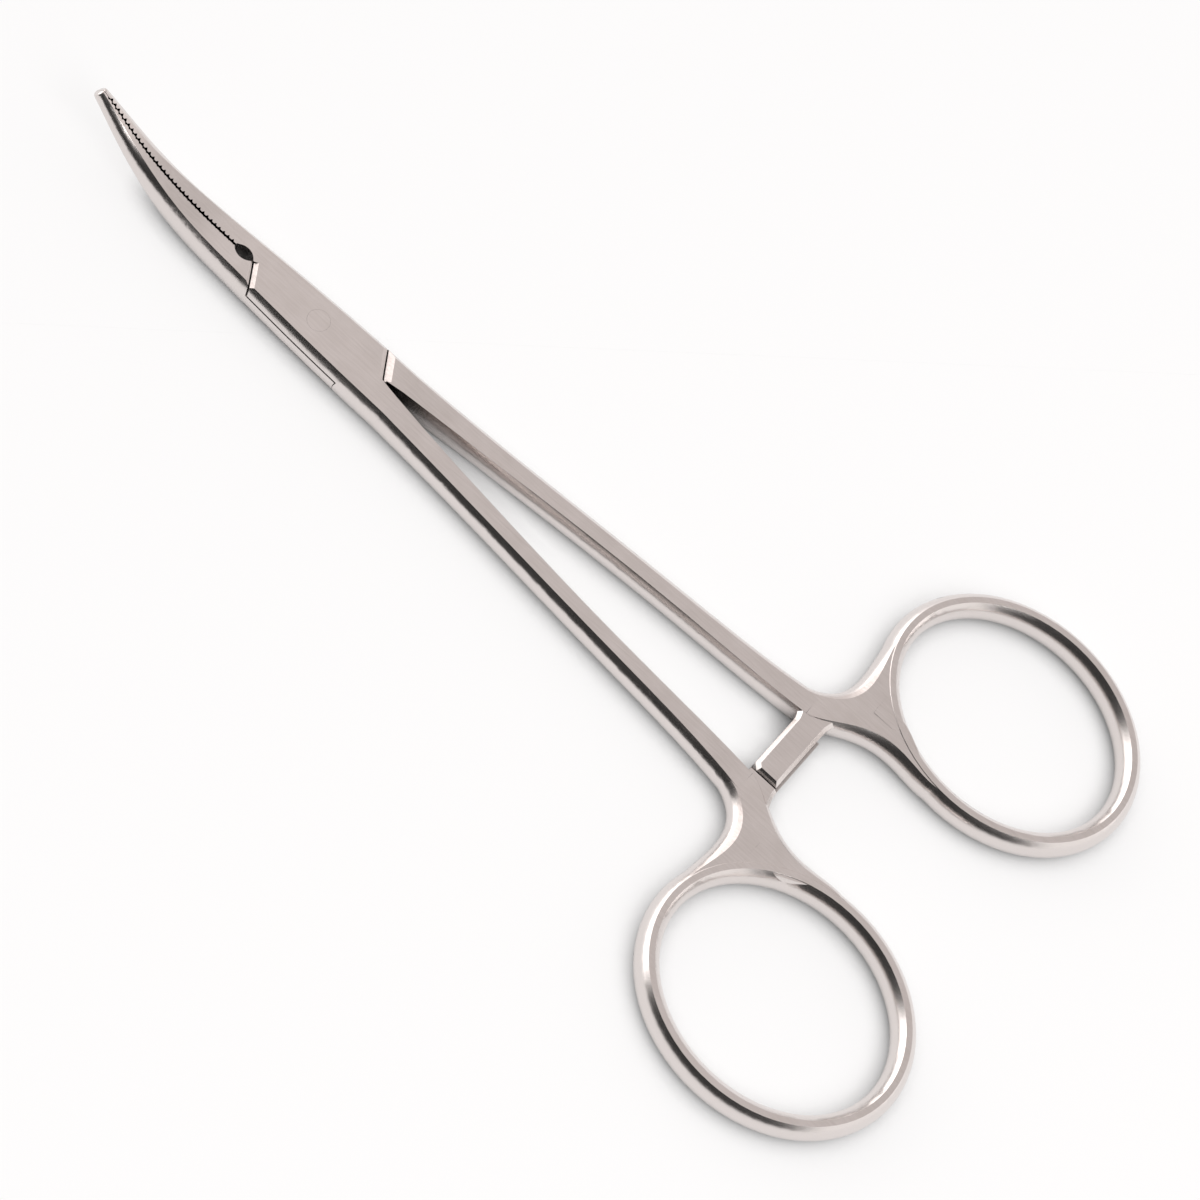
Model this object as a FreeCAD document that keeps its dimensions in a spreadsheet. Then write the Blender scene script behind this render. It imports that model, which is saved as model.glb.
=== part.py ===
import FreeCAD, Part
import math
import os
import re
import Sketcher
from FreeCAD import Placement, Rotation, Vector

# Curved mosquito haemostatic forceps, shut, lying flat with its tips curving up.
# X runs from the tips to the finger rings, Y from the near ring to the far ring, Z up.
# The origin is on the pin's axis at the underside of the box lock.

doc = FreeCAD.newDocument("forceps")

# Driving dimensions, mm and degrees
SIZES = {
    "thick": 3.7,            # box lock and finger rings, underside to top
    "play": 0.05,            # working gap beside and above the tongue
    "slit": 0.08,            # half the gap between the shanks where they start
    # box lock
    "lock_front": -9.5,
    "lock_back": 11.0,
    "shoulder": 8.75,        # cheek edges: distance along the middle line, and lean from X
    "shoulder_lean": 57.7,
    "shoulder_gap": 0.22,
    "web": 8.86,             # slot ends: the same two sizes
    "web_lean": 45.0,
    "slot_high": 1.4,
    "mouth": 0.12,           # relief round the mouths of the slot, which shows as a seam
    "mouth_front": 2.52,     # and how far from the middle it starts, at both ends of the lock
    "mouth_back": 3.2,
    "cheek_bevel": 0.45,
    "shank_bevel": 0.75,
    "notch_bevel": 0.3,
    "bevel_slope": 0.55,     # depth of those three bevels over their width
    "pin_round": 2.4,
    "pin_fit": 0.01,
    "tongue_fit": 0.03,
    # keyhole relief behind the serrations
    "key_middle": -10.05,
    "key_long": 2.5,
    "key_wide": 1.35,
    # jaw curve
    "bend_start": 13.5,
    "bend_radius": 23.5,
    "bend_deg": 32.0,
    # serrations
    "tooth_pitch": 0.6,
    "groove_far": 0.34,      # groove depths, from the middle plane
    "groove_near": 0.19,
    "crest": 0.12,
    "groove_count": 22,
    "root_count": 4,
    "tip_count": 8,
    # ratchet arms
    "arm_left": 61.48,
    "arm_wide": 3.19,
    "arm_extra": 0.35,       # how much wider the lower arm is
    "arm_end": 3.75,
    "arm_corner": 0.6,
    "arm_step": 4.1,        # where the arm's full-height root ends
    "arm_root": 5.0,
    "arm_half": 1.55,
    "arm_fillet": 1.7,
    "arm_bevel": 0.42,
    "arm_gap": 0.05,
    "fork_fillet": 3.4,      # sweep from the arm into the ring side of the neck, and where it ends
    "fork_run": 2.03,
    "fork_root": 7.3,
    "rack_pitch": 1.0,
    "rack_deep": 0.45,
    "rack_count": 3,
    # finger ring
    "ring_x": 78.1,
    "ring_y": 20.0,
    "ring_long": 14.0,       # centre line, half the length
    "ring_wide": 11.6,       # centre line, half the width
    "ring_land": 0.62,
    "ring_round": 0.91,
}

# Sections across the shut pair. Each flat runs from inner to outer, round_in and round_out are how
# far the convex sides stand out past it, and high is half the thickness there.
COLUMNS = ("along", "inner", "outer", "round_in", "round_out", "high")
LOCK = [
    (-9.5, -2.05, 2.05, 0.78, 0.78, 1.85),
    (0.0, -2.5, 2.5, 0.82, 0.82, 1.85),
    (11.0, -2.74, 2.74, 0.80, 0.80, 1.82),
]
SHANK = [
    (11.0, 0.45, 2.74, 0.05, 0.82, 1.82),
    (20.0, 1.45, 3.25, 0.42, 0.82, 1.60),
    (31.0, 2.52, 4.05, 0.55, 0.82, 1.55),
    (45.0, 3.54, 5.03, 0.55, 0.86, 1.55),
    (58.0, 4.18, 6.12, 0.45, 0.88, 1.55),
    (62.5, 4.55, 6.88, 0.35, 0.86, 1.57),
]
# Ring side of the neck
FORK = [
    (61.5, 4.45, 6.40, 0.35, 0.60, 1.54),
    (65.0, 6.15, 9.40, 0.85, 0.60, 1.70),
    (69.0, 8.20, 11.2, 1.05, 0.50, 1.78),
    (73.5, 8.25, 9.35, 0.92, 0.40, 1.80),
    (77.6, 8.35, 8.80, 0.80, 0.40, 1.80),
]
# Sections along the jaw: turn is how far round the bend, ahead is how far past it.
JAW_COLUMNS = ("back", "turn", "ahead", "inner", "outer", "round_out", "high")
JAW = [
    (4.0, 0.0, 0.0, 0.12, 2.05, 0.78, 1.85),
    (0.0, 0.0, 0.0, 0.12, 1.85, 0.74, 1.85),
    (0.0, 0.35, 0.0, 0.11, 1.52, 0.72, 1.80),
    (0.0, 0.7, 0.0, 0.10, 1.02, 0.78, 1.50),
    (0.0, 1.0, 0.0, 0.07, 0.58, 0.80, 1.15),
    (0.0, 1.0, 2.7, 0.05, 0.36, 0.68, 1.00),
    (0.0, 1.0, 5.25, 0.02, 0.20, 0.48, 0.87),
]
TIP = [
    (0.0, 1.0, 5.25, 0.02, 0.20, 0.48, 0.87),
    (0.0, 1.0, 5.43, 0.02, 0.16, 0.42, 0.76),
    (0.0, 1.0, 5.50, 0.02, 0.10, 0.30, 0.58),
]
# Branch of the neck that runs into the left of the ring, its heading in degrees from the shank.
BRANCH_COLUMNS = ("along", "across", "heading", "inner", "outer", "round_in", "round_out", "high")
BRANCH = [
    (58.6, 5.25, 4.0, -0.9, 0.87, 0.3, 0.86, 1.53),
    (62.9, 7.0, 45.0, -1.3, 0.55, 0.3, 0.95, 1.60),
    (65.7, 10.6, 84.0, -1.9, 0.75, 0.4, 1.30, 1.77),
    (65.5, 14.2, 100.0, -0.8, 0.75, 0.5, 1.05, 1.80),
    (64.4, 18.3, 98.0, -0.25, 0.35, 0.5, 0.80, 1.80),
]

# Corners of the flat where the two sides of the neck part
CROTCH = [(67.0, 9.6), (69.5, 9.6), (70.5, 10.4), (68.8, 11.5), (67.3, 12.6), (66.9, 12.0)]

LETTERS = "abcdefghijkl"     # of a table's rows in the sheet

sheet = doc.addObject("Spreadsheet::Sheet", "Sheet")


def put(row, name, value):
    sheet.set(f"A{row}", name)
    sheet.set(f"B{row}", str(value))
    sheet.setAlias(f"B{row}", name)


row = 1
for name, value in SIZES.items():
    put(row, name, value)
    row += 1
for label, columns, table in (("lock", COLUMNS, LOCK), ("shank", COLUMNS, SHANK),
                              ("fork", COLUMNS, FORK),
                              ("jaw", JAW_COLUMNS, JAW), ("tip", JAW_COLUMNS, TIP),
                              ("branch", BRANCH_COLUMNS, BRANCH)):
    for index, values in enumerate(table):
        for column, value in zip(columns, values):
            put(row, f"{label}{LETTERS[index]}_{column}", value)
            row += 1
names = {sheet.getAlias(f"B{number}") for number in range(1, row)}
doc.recompute()


def value(text):
    """Number that an expression of the sheet's names gives."""
    return float(sheet.evalExpression(text))


def bound(text):
    """The same expression as another object writes it."""
    return re.sub(r"[a-z]\w*", lambda m: "Sheet." + m[0] if m[0] in names else m[0], text)


def plane(body, role):
    return [f for f in body.Origin.OriginFeatures if f.Role == role][0]


def sketch_on(body, name, role, base=("0", "0", "0"), axis=(0, 0, 1), angle="0"):
    """Sketch on an origin plane of the body, moved and turned by expressions."""
    sketch = body.newObject("Sketcher::SketchObject", name)
    sketch.AttachmentSupport = [(plane(body, role), "")]
    sketch.MapMode = "FlatFace"
    place = Placement(Vector(*[value(b) for b in base]), Rotation(Vector(*axis), value(angle)))
    sketch.AttachmentOffset = place
    for letter, text in zip("xyz", base):
        if text != "0":
            sketch.setExpression(f"AttachmentOffset.Base.{letter}", bound(text))
    if angle != "0":
        sketch.setExpression("AttachmentOffset.Rotation.Angle", bound(angle))
    return sketch


def drive(sketch, kind, geometry, point, text):
    """Distance or radius constraint tied to an expression."""
    arguments = (kind, geometry, value(text)) if point is None else (kind, geometry, point, value(text))
    index = sketch.addConstraint(Sketcher.Constraint(*arguments))
    sketch.setExpression(f"Constraints[{index}]", bound(text))


def section(sketch, left, right, round_left, round_right, high):
    """Closed section with a flat top and bottom and convex sides."""
    edge_left, edge_right, top = value(left), value(right), value(high)
    radii = []
    for bulge in (round_left, round_right):
        radii.append(f"( {high} ) ^ 2 / ( 2 * ( {bulge} ) ) + ( {bulge} ) / 2")
    r_left, r_right = value(radii[0]), value(radii[1])
    sweep_left, sweep_right = math.asin(top / r_left), math.asin(top / r_right)
    up = Vector(0, 0, 1)
    x_left = edge_left - value(round_left) + r_left
    x_right = edge_right + value(round_right) - r_right
    sketch.addGeometry([
        Part.LineSegment(Vector(edge_left, top, 0), Vector(edge_right, top, 0)),
        Part.ArcOfCircle(Part.Circle(Vector(x_right, 0, 0), up, r_right), -sweep_right, sweep_right),
        Part.LineSegment(Vector(edge_right, -top, 0), Vector(edge_left, -top, 0)),
        Part.ArcOfCircle(Part.Circle(Vector(x_left, 0, 0), up, r_left),
                         math.pi - sweep_left, math.pi + sweep_left),
    ], False)
    for a, b, c, d in ((0, 2, 1, 2), (1, 1, 2, 1), (2, 2, 3, 2), (3, 1, 0, 1)):
        sketch.addConstraint(Sketcher.Constraint("Coincident", a, b, c, d))
    sketch.addConstraint([
        Sketcher.Constraint("Horizontal", 0),
        Sketcher.Constraint("Horizontal", 2),
        Sketcher.Constraint("Vertical", 0, 2, 2, 1),
        Sketcher.Constraint("Vertical", 0, 1, 2, 2),
    ])
    drive(sketch, "DistanceX", 0, 1, left)
    drive(sketch, "DistanceX", 0, 2, right)
    drive(sketch, "DistanceY", 0, 1, high)
    drive(sketch, "DistanceY", 2, 1, f"- ( {high} )")
    drive(sketch, "Radius", 1, None, radii[1])
    drive(sketch, "Radius", 3, None, radii[0])


def half_section(sketch, side, columns):
    """Section of one half on its own side of the middle plane."""
    inner, outer, round_in, round_out, high = columns
    if side > 0:
        section(sketch, inner, outer, round_in, round_out, high)
    else:
        section(sketch, f"- ( {outer} )", f"- ( {inner} )", round_out, round_in, high)


def outline(sketch, points, arcs=()):
    """Closed outline through points given as expressions, with some edges bent to an arc.

    arcs maps the number of an edge to its radius and the side on which its centre lies."""
    arcs = dict(arcs)
    first = sketch.GeometryCount
    spots = [Vector(value(x), value(y), 0) for x, y in points]
    ends = []
    for number, start in enumerate(spots):
        stop = spots[(number + 1) % len(spots)]
        if number not in arcs:
            sketch.addGeometry(Part.LineSegment(start, stop), False)
            ends.append((1, 2))
            continue
        radius, turn = value(arcs[number][0]), arcs[number][1]
        chord = stop - start
        middle = (start + stop) / 2
        normal = Vector(-chord.y, chord.x, 0).normalize() * turn
        centre = middle + normal * math.sqrt(max(radius ** 2 - (chord.Length / 2) ** 2, 0.0))
        angles = [math.atan2((p - centre).y, (p - centre).x) for p in (start, stop)]
        circle = Part.Circle(centre, Vector(0, 0, 1), radius)
        if turn > 0:
            sketch.addGeometry(Part.ArcOfCircle(circle, angles[0], angles[1]), False)
            ends.append((1, 2))
        else:
            sketch.addGeometry(Part.ArcOfCircle(circle, angles[1], angles[0]), False)
            ends.append((2, 1))
    count = len(points)
    for number in range(count):
        after = (number + 1) % count
        sketch.addConstraint(Sketcher.Constraint("Coincident", first + number, ends[number][1],
                                                 first + after, ends[after][0]))
    for number, (x, y) in enumerate(points):
        drive(sketch, "DistanceX", first + number, ends[number][0], x)
        drive(sketch, "DistanceY", first + number, ends[number][0], y)
        if number in arcs:
            drive(sketch, "Radius", first + number, None, arcs[number][0])


def extrude(body, kind, name, sketch, length, symmetric=False, reverse=False):
    """Pad or Pocket of a sketch; a Pocket must remove material and a Pad must add it."""
    before = body.Shape.Volume if body.Tip and not body.Shape.isNull() else 0.0
    feature = body.newObject("PartDesign::" + kind, name)
    feature.Profile = sketch
    feature.Length = value(length)
    feature.setExpression("Length", bound(length))
    if symmetric:
        feature.SideType = "Symmetric"
    feature.Reversed = reverse
    doc.recompute()
    after = body.Shape.Volume
    if (kind == "Pad") != (after > before):
        raise RuntimeError(f"{name} changes the volume from {before:.3f} to {after:.3f}")
    return feature


def pocket(body, name, points, length="4 * thick", level="0", reverse=False, arcs=()):
    """Cut of a plan outline: right through, or one way from a level."""
    sketch = sketch_on(body, name + "Plan", "XY_Plane", ("0", "0", level))
    outline(sketch, points, arcs)
    return extrude(body, "Pocket", name, sketch, length, symmetric=level == "0" and not reverse, reverse=reverse)


def loft(body, name, sections):
    feature = body.newObject("PartDesign::AdditiveLoft", name)
    feature.Profile = sections[0]
    feature.Sections = sections[1:]
    doc.recompute()
    return feature


def edges_where(feature, test):
    """Names of the edges whose middle passes a test."""
    return [f"Edge{number}" for number, edge in enumerate(feature.Shape.Edges, 1)
            if test(edge.valueAt((edge.FirstParameter + edge.LastParameter) / 2))]


def bevel(body, name, test, size):
    base = body.Tip
    feature = body.newObject("PartDesign::Chamfer", name)
    feature.Base = (base, edges_where(base, test))
    feature.Size = value(size)
    feature.setExpression("Size", bound(size))
    doc.recompute()
    return feature


def shank_side(body, side):
    """Ratchet arm, shank, neck and finger ring of one half."""
    # Ratchet arm: upper on the far half, lower on the near one, its teeth towards the other arm
    right = f"arm_left + arm_wide + {(1 - side) // 2} * arm_extra"
    tip = f"- {side} * arm_end"
    root = f"{side} * arm_root"
    drop = "sqrt( fork_fillet ^ 2 - ( fork_fillet - fork_run ) ^ 2 )"
    sweep = [(right, f"{side} * ( fork_root - {drop} )"), (f"{right} + fork_run", f"{side} * fork_root")]
    sketch = sketch_on(body, "ArmRootPlan", "XY_Plane")
    outline(sketch, [("arm_left", root), ("arm_left", f"{side} * arm_step"), (right, f"{side} * arm_step"), *sweep],
            {3: ("fork_fillet", -side)})
    extrude(body, "Pad", "ArmRoot", sketch, "2 * arm_half", symmetric=True)
    sketch = sketch_on(body, "ArmPlan", "XY_Plane", ("0", "0", f"{side} * arm_gap / 2"))
    outline(sketch, [
        ("arm_left - arm_fillet", root),
        ("arm_left", f"{side} * ( arm_root - arm_fillet )"),
        ("arm_left", f"- {side} * ( arm_end - arm_corner )"),
        ("arm_left + arm_corner", tip),
        (right, tip),
        *sweep,
    ], {0: ("arm_fillet", -side), 5: ("fork_fillet", -side)})
    extrude(body, "Pad", "Arm", sketch, "arm_half - arm_gap / 2", reverse=side < 0)
    top, edge = value("arm_half"), value(right) - 0.01
    last = value("( arm_root + fork_root ) / 2") - 0.01
    bevel(body, "ArmBevel", lambda p: abs(abs(p.z) - top) < 1e-4 and p.y * side < last
          and (p.z * side > 0 or p.x > edge), "arm_bevel")
    reach = "arm_bevel" if side > 0 else "- arm_extra"
    sketch = sketch_on(body, "RackTooth", "YZ_Plane", ("0", "0", f"{right} + {reach}"))
    foot = f"{side} * arm_gap / 2"
    first = f"- {side} * ( arm_end - rack_pitch / 2 )"
    outline(sketch, [
        (first, f"{side} * ( arm_gap / 2 + rack_deep )"),
        (f"{first} + {side} * rack_pitch * 0.9", foot),
        (f"{first} + {side} * rack_pitch * 0.9", f"- {side} * rack_deep"),
        (first, f"- {side} * rack_deep"),
    ])
    tooth = extrude(body, "Pocket", "RackCut", sketch, "arm_wide + 2 * arm_bevel")
    pattern = body.newObject("PartDesign::LinearPattern", "Rack")
    pattern.Originals = [tooth]
    pattern.Direction = (sketch, ["H_Axis"])
    pattern.Reversed = side < 0
    pattern.Length = value("rack_pitch * ( rack_count - 1 )")
    pattern.setExpression("Length", bound("rack_pitch * ( rack_count - 1 )"))
    pattern.Occurrences = int(value("rack_count"))
    body.Tip = pattern
    doc.recompute()


def station(label, index, columns):
    return [f"{label}{LETTERS[index]}_{c}" for c in columns]


def half(name, side_jaw):
    side = -side_jaw
    body = doc.addObject("PartDesign::Body", name)
    body.Label = name
    shank_side(body, side)

    # Shank, and the side of the neck that faces the other ring
    for label, feature, count in (("shank", "Shank", len(SHANK)), ("fork", "Fork", len(FORK))):
        sections = []
        for index in range(count):
            along, *rest = station(label, index, COLUMNS)
            sketch = sketch_on(body, f"{feature}Section{index}", "YZ_Plane", ("0", "0", along))
            half_section(sketch, side, rest)
            sections.append(sketch)
        loft(body, feature, sections)

    # Left side of the neck, which runs up into the ring
    sections = []
    for index in range(len(BRANCH)):
        along, across, heading, *rest = station("branch", index, BRANCH_COLUMNS)
        sketch = sketch_on(body, f"NeckSection{index}", "YZ_Plane",
                           (f"{side} * {across}", "0", along), (0, 1, 0), f"{side} * {heading}")
        half_section(sketch, side, rest)
        sections.append(sketch)
    loft(body, "Neck", sections)

    # Finger ring, swept round an ellipse
    path = sketch_on(body, "RingPath", "XY_Plane")
    centre = Vector(value("ring_x"), side * value("ring_y"), 0)
    path.addGeometry(Part.Ellipse(centre, value("ring_long"), value("ring_wide")), False)
    path.exposeInternalGeometry(0)
    drive(path, "DistanceX", 0, 3, "ring_x")
    drive(path, "DistanceY", 0, 3, f"{side} * ring_y")
    path.addConstraint(Sketcher.Constraint("Horizontal", 1))
    for line, size in ((1, "2 * ring_long"), (2, "2 * ring_wide")):
        index = path.addConstraint(Sketcher.Constraint("Distance", line, value(size)))
        path.setExpression(f"Constraints[{index}]", bound(size))
    sketch = sketch_on(body, "RingSection", "XZ_Plane", ("0", "0", f"- {side} * ring_y"))
    section(sketch, "ring_x + ring_long - ring_land / 2", "ring_x + ring_long + ring_land / 2",
            "ring_round", "ring_round", "thick / 2")
    ring = body.newObject("PartDesign::AdditivePipe", "Ring")
    ring.Profile = sketch
    ring.Spine = path
    doc.recompute()

    # Flat where the two sides of the neck part
    sketch = sketch_on(body, "CrotchPlan", "XY_Plane")
    outline(sketch, [(str(x), f"{side} * {y}") for x, y in CROTCH])
    extrude(body, "Pad", "Crotch", sketch, "2 * forkd_high", symmetric=True)

    # Box lock blank, before the halves are cut from each other
    sections = []
    for index in range(len(LOCK)):
        along, *rest = station("lock", index, COLUMNS)
        sketch = sketch_on(body, f"LockSection{index}", "YZ_Plane", ("0", "0", along))
        half_section(sketch, 1, rest)
        sections.append(sketch)
    loft(body, "LockBlank", sections)

    # Jaw, curved up to the tip, and its rounded end
    for label, feature, count in (("jaw", "Jaw", len(JAW)), ("tip", "JawTip", len(TIP))):
        sections = []
        for index in range(count):
            back, turn, ahead, inner, outer, round_out, high = station(label, index, JAW_COLUMNS)
            angle = f"bend_deg * {turn}"
            base_x = f"- bend_start + {back} - bend_radius * sin( {angle} ) - {ahead} * cos( {angle} )"
            base_z = f"bend_radius * ( 1 - cos( {angle} ) ) + {ahead} * sin( {angle} )"
            sketch = sketch_on(body, f"{feature}Section{index}", "YZ_Plane", ("0", base_z, base_x), (1, 0, 0), angle)
            half_section(sketch, side_jaw, (inner, outer, "0.01", round_out, high))
            sections.append(sketch)
        loft(body, feature, sections)
    return body


def leaning(start, lean, across):
    """X of a line that crosses the middle line at start and leans back as y grows."""
    return f"{start} - ( {across} ) / tan( {lean} )"


REACH = "2 * thick"          # a distance past the sides of the lock


def serrate(body, side):
    """Cross serrations: the straight root, the bend and the straight tip of the jaw."""
    shift = "0" if side > 0 else "0.5"
    deep = f"{side} * {'groove_far' if side > 0 else 'groove_near'}"
    wide = "( tooth_pitch - crest )"
    pitch_deg = "( tooth_pitch / bend_radius * 180 / pi )"
    first = f"{shift} * {pitch_deg}"
    past = (f"( ( groove_count + {shift} ) * tooth_pitch - bend_radius * bend_deg * pi / 180 )")
    places = {
        "Root": (f"- bend_start + ( 1 - {shift} ) * tooth_pitch", "0", "0"),
        "Bend": (f"- bend_start - bend_radius * sin( {first} )", f"bend_radius * ( 1 - cos( {first} ) )", first),
        "Tip": (f"- bend_start - bend_radius * sin( bend_deg ) - {past} * cos( bend_deg )",
                f"bend_radius * ( 1 - cos( bend_deg ) ) + {past} * sin( bend_deg )", "bend_deg"),
    }
    centre = sketch_on(body, "BendCentre", "XZ_Plane", ("- bend_start", "bend_radius", "0"))
    for name, (x, z, angle) in places.items():
        sketch = sketch_on(body, name + "Groove", "XY_Plane", (x, "0", z), (0, 1, 0), angle)
        outline(sketch, [(f"- {wide}", f"- {deep}"), ("0", deep), (wide, f"- {deep}")])
        cut = extrude(body, "Pocket", name + "Cut", sketch, "2 * thick", symmetric=True)
        if name == "Bend":
            pattern = body.newObject("PartDesign::PolarPattern", name + "Serrations")
            pattern.Axis = (centre, ["N_Axis"])
            extent, field, count = f"{pitch_deg} * ( groove_count - 1 )", "Angle", "groove_count"
        else:
            pattern = body.newObject("PartDesign::LinearPattern", name + "Serrations")
            pattern.Direction = (sketch, ["H_Axis"])
            count = name.lower() + "_count"
            extent, field = f"tooth_pitch * ( {count} - 1 )", "Length"
        pattern.Originals = [cut]
        pattern.Reversed = name != "Root"
        setattr(pattern, field, value(extent))
        pattern.setExpression(field, bound(extent))
        pattern.Occurrences = int(value(count))
        body.Tip = pattern
        doc.recompute()


def keyhole(body):
    radius = ("( ( key_long ) ^ 2 + ( key_wide ) ^ 2 ) / ( 4 * key_wide )", 1)
    pocket(body, "Keyhole", [("key_middle - key_long / 2", "0"), ("key_middle + key_long / 2", "0")],
           arcs={0: radius, 1: radius})


def pin_hole(body, fit):
    sketch = sketch_on(body, "PinHolePlan", "XY_Plane")
    radius = f"pin_round / 2 + {fit}"
    sketch.addGeometry(Part.Circle(Vector(0, 0, 0), Vector(0, 0, 1), value(radius)), False)
    sketch.addConstraint(Sketcher.Constraint("Coincident", 0, 3, -1, 1))
    drive(sketch, "Radius", 0, None, radius)
    extrude(body, "Pocket", "PinHole", sketch, "4 * thick", symmetric=True)


def shoulder_bevel(body, name, start, material, size, across):
    """Bevel on the top and bottom edges of a shoulder that crosses the middle line at start.

    material is the side of the line that holds the metal, across the side of the lock it runs to."""
    sketch = sketch_on(body, name + "Profile", "XZ_Plane", (start, "0", "0"), (0, 1, 0), "90 - shoulder_lean")
    for up in (1, -1):
        outline(sketch, [
            (f"- {material} * {size}", f"{up} * ( thick / 2 - 2 * bevel_slope * {size} )"),
            (f"{material} * 2 * {size}", f"{up} * ( thick / 2 + bevel_slope * {size} )"),
            (f"- {material} * {size}", f"{up} * ( thick / 2 + bevel_slope * {size} )"),
        ])
    extrude(body, "Pocket", name, sketch, REACH, reverse=across < 0)


# Box half: the far jaw and near shank, joined by the two cheeks and the webs at the slot's ends
box_half = half("box_half", 1)
cheek = "shoulder - shoulder_gap / 2"
web = "web + play"
pocket(box_half, "NearJawRoot", [
    ("lock_front - 1", "0"), (f"- ( {cheek} )", "0"),
    (leaning(f"- ( {cheek} )", "shoulder_lean", f"- {REACH}"), f"- {REACH}"), ("lock_front - 1", f"- {REACH}"),
])
pocket(box_half, "FarShankRoot", [
    (cheek, "- slit"), ("lock_back", "- shanka_inner"), ("lock_back + 1", "- shanka_inner"),
    ("lock_back + 1", REACH), (leaning(cheek, "shoulder_lean", REACH), REACH), (cheek, "0"),
])
pocket(box_half, "Slot", [
    (leaning(f"- ( {web} )", "- web_lean", REACH), REACH), (leaning(web, "- web_lean", REACH), REACH),
    (leaning(web, "- web_lean", f"- {REACH}"), f"- {REACH}"),
    (leaning(f"- ( {web} )", "- web_lean", f"- {REACH}"), f"- {REACH}"),
], length="slot_high")
for name, sign in (("FarMouth", 1), ("NearMouth", -1)):
    corners = []
    for start, depth in ((f"- ( {web} )", "mouth_front"), (web, "mouth_back")):
        corners.append((leaning(start, "- web_lean", f"{sign} * {depth}"), f"{sign} * {depth}"))
        corners.append((leaning(start, "- web_lean", f"{sign} * {REACH}"), f"{sign} * {REACH}"))
    pocket(box_half, name, [corners[0], corners[2], corners[3], corners[1]], length="slot_high + 2 * mouth")
keyhole(box_half)
pin_hole(box_half, "pin_fit")
shoulder_bevel(box_half, "FrontBevel", f"- ( {cheek} )", 1, "cheek_bevel", -1)
shoulder_bevel(box_half, "BackBevel", cheek, -1, "cheek_bevel", 1)
serrate(box_half, 1)

# Tongue half: the near jaw and far shank, joined by the tongue between the cheeks
tongue_half = half("tongue_half", -1)
root = "shoulder + shoulder_gap / 2"
web = "web - play"
pocket(tongue_half, "FarJawRoot", [
    ("lock_front - 1", "0"), (f"- ( {web} )", "0"),
    (leaning(f"- ( {web} )", "- web_lean", REACH), REACH), ("lock_front - 1", REACH),
])
pocket(tongue_half, "NearShankRoot", [
    (web, "slit"), ("lock_back", "shanka_inner"), ("lock_back + 1", "shanka_inner"),
    ("lock_back + 1", f"- {REACH}"), (leaning(web, "- web_lean", f"- {REACH}"), f"- {REACH}"), (web, "0"),
])
cheeks = [
    (leaning(f"- ( {root} )", "shoulder_lean", REACH), REACH), (leaning(root, "shoulder_lean", REACH), REACH),
    (leaning(root, "shoulder_lean", f"- {REACH}"), f"- {REACH}"),
    (leaning(f"- ( {root} )", "shoulder_lean", f"- {REACH}"), f"- {REACH}"),
]
pocket(tongue_half, "UpperCheek", cheeks, "thick", "slot_high / 2 - play", reverse=True)
pocket(tongue_half, "LowerCheek", cheeks, "thick", "- ( slot_high / 2 - play )")
keyhole(tongue_half)
pin_hole(tongue_half, "tongue_fit")
shoulder_bevel(tongue_half, "ShankBevel", root, 1, "shank_bevel", 1)
shoulder_bevel(tongue_half, "JawBevel", f"- ( {root} )", -1, "notch_bevel", -1)
serrate(tongue_half, -1)

# Lock pin, headless, ground flush with the cheeks
lock_pin = doc.addObject("PartDesign::Body", "lock_pin")
lock_pin.Label = "lock_pin"
sketch = sketch_on(lock_pin, "PinPlan", "XY_Plane")
sketch.addGeometry(Part.Circle(Vector(0, 0, 0), Vector(0, 0, 1), value("pin_round / 2")), False)
sketch.addConstraint(Sketcher.Constraint("Coincident", 0, 3, -1, 1))
drive(sketch, "Radius", 0, None, "pin_round / 2")
extrude(lock_pin, "Pad", "Pin", sketch, "thick", symmetric=True)

pieces = (box_half, tongue_half, lock_pin)
for body in pieces:
    body.setExpression("Placement.Base.z", "Sheet.thick / 2")
doc.recompute()
for thing in doc.Objects:
    if {"Invalid", "Error"} & set(thing.State):
        raise RuntimeError(f"{thing.Name} failed: {thing.State}")
os.makedirs("parts", exist_ok=True)
for body in pieces:
    shape = body.Shape
    if shape.isNull() or not shape.isValid() or len(shape.Solids) != 1:
        raise RuntimeError(f"{body.Label} isn't one valid solid")
    shape.exportStep(f"parts/{body.Label}.step")
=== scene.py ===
import math

import bmesh
import bpy
from mathutils import Matrix, Vector

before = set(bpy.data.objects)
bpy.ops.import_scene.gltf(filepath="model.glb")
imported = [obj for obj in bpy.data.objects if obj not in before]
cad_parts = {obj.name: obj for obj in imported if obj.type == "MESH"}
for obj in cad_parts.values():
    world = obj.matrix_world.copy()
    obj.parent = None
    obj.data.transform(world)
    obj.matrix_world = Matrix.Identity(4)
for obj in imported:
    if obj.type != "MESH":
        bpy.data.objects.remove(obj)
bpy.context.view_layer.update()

# Box half: one forging of stainless steel with the far jaw, the near shank and ring, and the lower
# ratchet arm. Its flats are ground and softly brushed along their length, and its rounded sides are
# polished brighter, so they mirror the room in bands.


def linear(hexa):
    """sRGB hex colour as a linear RGBA."""
    parts = [int(hexa[i:i + 2], 16) / 255 for i in (1, 3, 5)]
    return [c / 12.92 if c <= 0.04045 else ((c + 0.055) / 1.055) ** 2.4 for c in parts] + [1.0]


def add(tree, kind, settings=None, links=None):
    """Adds a node, sets its attributes or input sockets, and links its inputs."""
    made = tree.nodes.new(kind)
    for name, value in (settings or {}).items():
        if isinstance(name, int) or name in made.inputs:
            made.inputs[name].default_value = value
        else:
            setattr(made, name, value)
    for name, source in (links or {}).items():
        tree.links.new(source, made.inputs[name])
    return made


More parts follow.
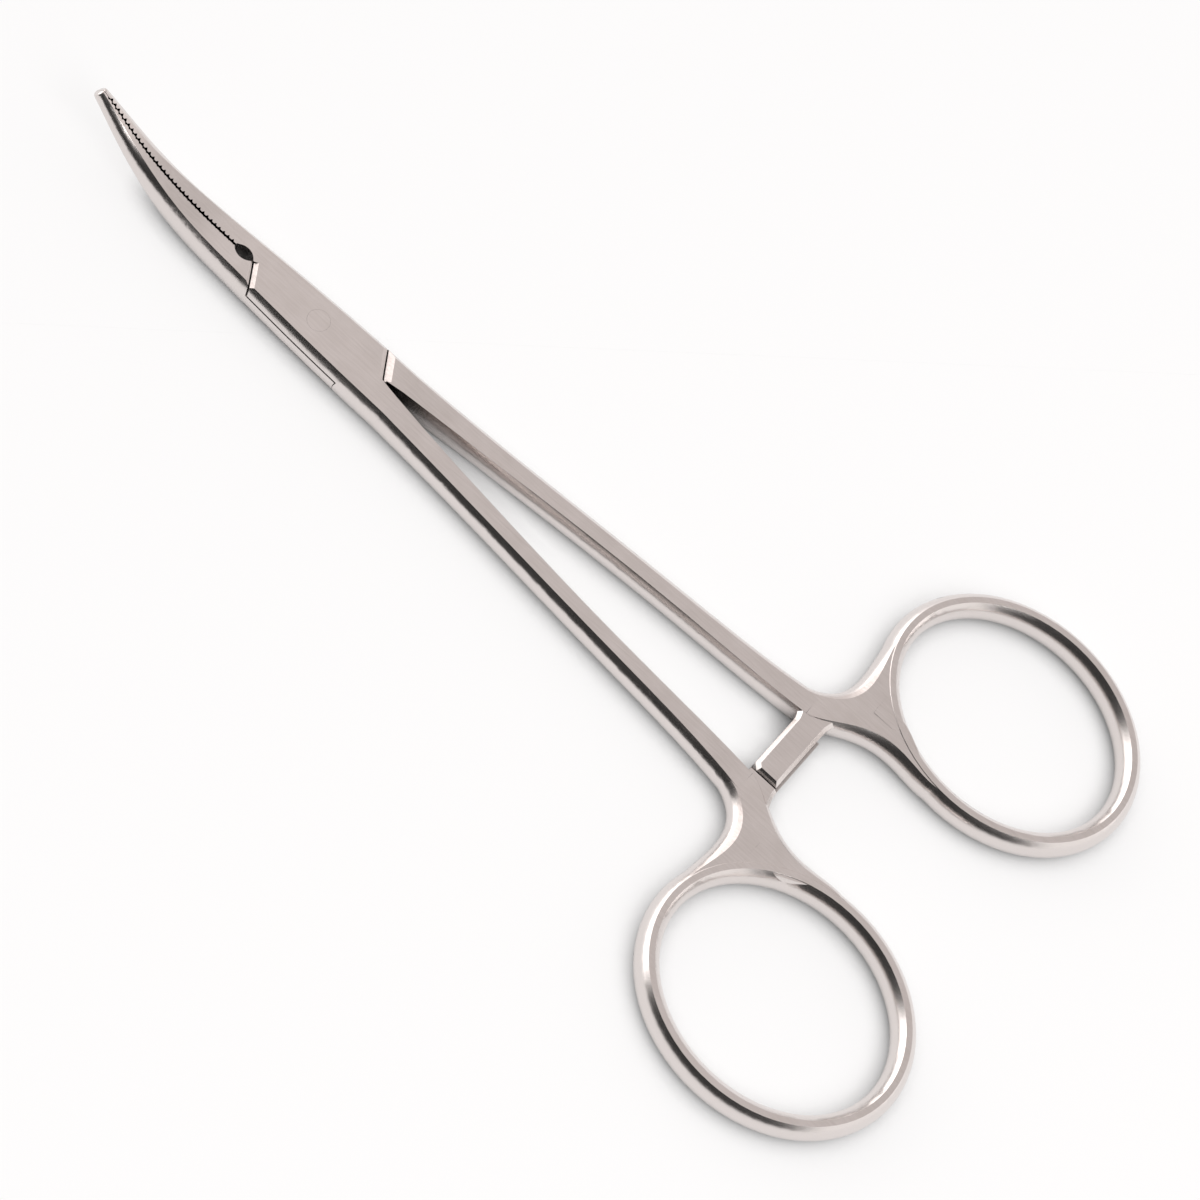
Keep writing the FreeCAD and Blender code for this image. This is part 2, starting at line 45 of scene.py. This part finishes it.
def satin_steel(name, nicks=()):
    """Martensitic stainless steel, brushed on its flats and polished on its round sides.

    Each nick is a small dark mark: its place, radius and colour."""
    steel = bpy.data.materials.new(name)
    steel.use_nodes = True
    tree = steel.node_tree
    tree.nodes.clear()
    place = add(tree, "ShaderNodeTexCoord")
    # Brush lines 3 mm long and 0.2 mm wide, coarser than the real ones so that they show
    lines_per_metre = (330.0, 5000.0, 5000.0)
    lines = add(tree, "ShaderNodeMapping", {"Scale": lines_per_metre},
                {0: place.outputs["Object"]})
    brush = add(tree, "ShaderNodeTexNoise", {"Scale": 1.0, "Detail": 3.0, "Roughness": 0.6},
                {"Vector": lines.outputs[0]})
    # Grain of the satin finish, 0.15 mm
    grains_per_metre = 6500.0
    grain = add(tree, "ShaderNodeTexNoise", {"Scale": grains_per_metre, "Detail": 2.0},
                {"Vector": place.outputs["Object"]})
    # Slow unevenness left by hand polishing, about 3 mm
    clouds_per_metre = 330.0
    cloud = add(tree, "ShaderNodeTexNoise", {"Scale": clouds_per_metre, "Detail": 2.0},
                {"Vector": place.outputs["Object"]})
    # The flats face up or down, and lean by up to 34 degrees along the curved jaws. What leans by
    # more than 41 degrees is a polished side.
    side_lean, flat_lean = 0.75, 0.83
    facing = add(tree, "ShaderNodeSeparateXYZ", links={0: place.outputs["Normal"]})
    level = add(tree, "ShaderNodeMath", {"operation": "ABSOLUTE"}, {0: facing.outputs["Z"]})
    flat = add(tree, "ShaderNodeMapRange", {"From Min": side_lean, "From Max": flat_lean},
               {"Value": level.outputs[0]})
    # The flats are greyer where brush lines and unevenness add up
    cloud_share = 0.5
    worn = add(tree, "ShaderNodeMath", {"operation": "MULTIPLY_ADD", 1: cloud_share},
               {0: cloud.outputs["Fac"], 2: brush.outputs["Fac"]})
    patchy = add(tree, "ShaderNodeMapRange", {"From Min": 0.5, "From Max": 1.0},
                 {"Value": worn.outputs[0]})
    ground = add(tree, "ShaderNodeMix",
                 {"data_type": "RGBA", 6: linear("#CDC3C0"), 7: linear("#BEB4B0")},
                 {0: patchy.outputs[0]})
    base = add(tree, "ShaderNodeMix", {"data_type": "RGBA", 6: linear("#DFD8D5")},
               {0: flat.outputs[0], 7: ground.outputs[2]})
    # Painted shade: seams, serrations and holes are darkened to near black where ambient occlusion
    # finds the steel closing in, so they gather no light
    crevice, shut, free = 0.0015, 0.3, 0.55
    open_sky = add(tree, "ShaderNodeAmbientOcclusion", {"Distance": crevice, "samples": 3})
    unshaded = add(tree, "ShaderNodeMapRange", {"From Min": shut, "From Max": free},
                {"Value": open_sky.outputs["AO"]})
    # Near black painted shade for the crevices
    crevice_shaded = add(tree, "ShaderNodeMix", {"data_type": "RGBA", 6: linear("#1B1715")},
                {0: unshaded.outputs[0], 7: base.outputs[2]})
    colour = crevice_shaded.outputs[2]
    for spot, radius, tint in nicks:
        gap = add(tree, "ShaderNodeVectorMath", {"operation": "DISTANCE", 1: spot},
                  {0: place.outputs["Object"]})
        inside = add(tree, "ShaderNodeMapRange", {"From Min": radius, "From Max": radius * 0.6},
                     {"Value": gap.outputs["Value"]})
        nicked = add(tree, "ShaderNodeMix", {"data_type": "RGBA", 7: linear(tint)},
                     {0: inside.outputs[0], 6: colour})
        colour = nicked.outputs[2]
    # The polished sides are smoother than the brushed flats
    polished, finest, coarsest = 0.24, 0.28, 0.40
    satin = add(tree, "ShaderNodeMapRange",
                {"From Min": 0.3, "From Max": 0.7, "To Min": finest, "To Max": coarsest},
                {"Value": brush.outputs["Fac"]})
    rough = add(tree, "ShaderNodeMix", {"data_type": "FLOAT", 2: polished},
                {0: flat.outputs[0], 3: satin.outputs[0]})
    relief = {"Strength": 0.14, "Distance": 0.00002}
    lay = add(tree, "ShaderNodeBump", relief, {"Height": brush.outputs["Fac"]})
    skin = add(tree, "ShaderNodeBump", relief,
               {"Height": grain.outputs["Fac"], "Normal": lay.outputs[0]})
    shader = add(tree, "ShaderNodeBsdfPrincipled", {"Metallic": 1.0},
                 {"Base Color": colour, "Roughness": rough.outputs[0], "Normal": skin.outputs[0]})
    add(tree, "ShaderNodeOutputMaterial", links={"Surface": shader.outputs[0]})
    return steel


box_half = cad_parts["box_half"]
box_half.data.materials[0] = satin_steel("satin_steel_box_half")

# Tongue half: the second forging, with the near jaw, the far shank and ring, and the upper ratchet
# arm. Its tongue passes through the box half's slot. A dark nick marks the ring's outer left.
tongue_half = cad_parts["tongue_half"]
ring_nick = ((0.0644, 0.0252, 0.0024), 0.0006, "#4A4541")
tongue_half.data.materials[0] = satin_steel("satin_steel_tongue_half", [ring_nick])

# Lock pin: a headless rivet of plain steel through both cheeks and the tongue. It is ground flush
# with the cheeks and brushed along with them.
lock_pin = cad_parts["lock_pin"]
lock_pin.data.materials[0] = satin_steel("satin_steel_pin")

# Table: a white matt sheet, just under the steel. Seen directly or in the steel, it is a little
# brighter than its light makes it, so its shadows stay faint. In the holes and narrow gaps, where
# the steel closes in on it, ambient occlusion takes that glow away and paints the sheet dark brown:
# painted shade.
sheet_reach, sheet_gap = 4.0, 0.00002
sheet = bmesh.new()
bmesh.ops.create_grid(sheet, x_segments=1, y_segments=1, size=sheet_reach,
                      matrix=Matrix.Translation((0.0, 0.0, -sheet_gap)))
table_mesh = bpy.data.meshes.new("table")
sheet.to_mesh(table_mesh)
sheet.free()
table = bpy.data.objects.new("table", table_mesh)
bpy.context.scene.collection.objects.link(table)

paper = bpy.data.materials.new("matt_white_sheet")
paper.use_nodes = True
tree = paper.node_tree
tree.nodes.clear()
rays = add(tree, "ShaderNodeLightPath")
direct = add(tree, "ShaderNodeMath", {"operation": "MAXIMUM"},
             {0: rays.outputs["Is Camera Ray"], 1: rays.outputs["Is Glossy Ray"]})
seen = add(tree, "ShaderNodeMath", {"operation": "MAXIMUM"},
           {0: direct.outputs[0], 1: rays.outputs["Is Transmission Ray"]})
narrow, shut, free = 0.003, 0.25, 0.5
sky = add(tree, "ShaderNodeAmbientOcclusion", {"Distance": narrow, "samples": 3})
clear = add(tree, "ShaderNodeMapRange", {"From Min": shut, "From Max": free},
            {"Value": sky.outputs["AO"]})
glow_share = 0.72
share = add(tree, "ShaderNodeMath", {"operation": "MULTIPLY", 1: glow_share},
            {0: seen.outputs[0]})
glowing = add(tree, "ShaderNodeMath", {"operation": "MULTIPLY"},
              {0: share.outputs[0], 1: clear.outputs[0]})
# Painted shade: the sheet's colour goes to dark brown in the holes and narrow gaps
shade = add(tree, "ShaderNodeMix",
            {"data_type": "RGBA", 6: linear("#2B2624"), 7: linear("#F4F3F3")},
            {0: clear.outputs[0]})
matt = add(tree, "ShaderNodeBsdfDiffuse", links={"Color": shade.outputs[2]})
glow = add(tree, "ShaderNodeEmission", {"Color": linear("#FBFAFA"), "Strength": 1.0})
blend = add(tree, "ShaderNodeMixShader",
            links={0: glowing.outputs[0], 1: matt.outputs[0], 2: glow.outputs[0]})
add(tree, "ShaderNodeOutputMaterial", links={"Surface": blend.outputs[0]})
table_mesh.materials.append(paper)

# Studio: a white room, dimmer overhead, with a broad bright patch beyond the tips, a small one
# beyond the far ring, and a dark wall behind the camera, which the round sides of the steel mirror.
# One soft lamp stands on the right, towards the camera.
room = bpy.data.worlds.new("white_room")
bpy.context.scene.world = room
room.use_nodes = True
tree = room.node_tree
tree.nodes.clear()
way = add(tree, "ShaderNodeTexCoord")


def patch(direction, start, full, gain):
    """Part of the room round a direction, from the cosine start up to gain at the cosine full."""
    towards = add(tree, "ShaderNodeVectorMath",
                  {"operation": "DOT_PRODUCT", 1: Vector(direction).normalized()},
                  {0: way.outputs["Generated"]})
    amount = add(tree, "ShaderNodeMapRange",
                 {"From Min": start, "From Max": full, "To Max": gain,
                  "interpolation_type": "SMOOTHSTEP"},
                 {"Value": towards.outputs["Value"]})
    return amount.outputs[0]


wall_top, ceiling, wall_light, ceiling_light = 0.34, 0.55, 1.05, 0.82
height = add(tree, "ShaderNodeSeparateXYZ", links={0: way.outputs["Generated"]})
walls = add(tree, "ShaderNodeMapRange",
            {"From Min": wall_top, "From Max": ceiling, "To Min": wall_light,
             "To Max": ceiling_light, "interpolation_type": "SMOOTHSTEP"},
            {"Value": height.outputs["Z"]})
bright = walls.outputs[0]
beyond_tips = ((-1.0, 0.0, 0.5), 0.55, 0.85, 1.2)
beyond_far_ring = ((0.78, 0.47, 0.41), 0.9, 0.97, 0.5)
for spread in (beyond_tips, beyond_far_ring):
    brighter = add(tree, "ShaderNodeMath", {"operation": "ADD"}, {0: bright, 1: patch(*spread)})
    bright = brighter.outputs[0]
dark_wall = 0.03
gloom = patch((0.0, -0.943, 0.333), 0.42, 0.74, 1.0)
tone = add(tree, "ShaderNodeMix", {"data_type": "FLOAT", 3: dark_wall}, {0: gloom, 2: bright})
light = add(tree, "ShaderNodeBackground", {"Color": (1.0, 0.985, 0.975, 1.0)},
            {"Strength": tone.outputs[0]})
add(tree, "ShaderNodeOutputWorld", links={"Surface": light.outputs[0]})

lamp = bpy.data.lights.new("soft_lamp", "AREA")
lamp.shape = "DISK"
lamp.size = 0.5
lamp.energy = 3.0
lamp_object = bpy.data.objects.new("soft_lamp", lamp)
lamp_aim = Vector((0.03, 0.0, 0.0))
lamp_distance = 0.9
lamp_place = lamp_aim + lamp_distance * Vector((0.58, -0.27, 0.76))
lamp_turn = (lamp_place - lamp_aim).to_track_quat("Z", "Y").to_matrix().to_4x4()
lamp_object.matrix_world = Matrix.Translation(lamp_place) @ lamp_turn
bpy.context.scene.collection.objects.link(lamp_object)

# Camera: a long lens looking down at 62 degrees over the near ring, rolled so that the tips point
# to the upper left.
elevation, azimuth, roll = math.radians(62.0), math.radians(-2.71), math.radians(40.0)
forward = Vector((math.sin(azimuth) * math.cos(elevation),
                  math.cos(azimuth) * math.cos(elevation),
                  -math.sin(elevation)))
right = Vector((math.cos(azimuth), -math.sin(azimuth), 0.0))
up = right.cross(forward)
across = math.cos(roll) * right + math.sin(roll) * up
upward = -math.sin(roll) * right + math.cos(roll) * up
lens = bpy.data.cameras.new("camera")
lens.lens = 112.35
lens.sensor_width = 36.0
lens.shift_x = -0.0625
lens.shift_y = -0.0017
lens.clip_start = 0.01
camera = bpy.data.objects.new("camera", lens)
camera_aim = Vector((0.04453, 0.00592, 0.0))
camera_distance = 0.3764
eye = camera_aim - camera_distance * forward
turn = Matrix((across, upward, -forward)).transposed().to_4x4()
camera.matrix_world = Matrix.Translation(eye) @ turn
bpy.context.scene.collection.objects.link(camera)
bpy.context.scene.camera = camera

bpy.context.scene.view_settings.view_transform = "Standard"
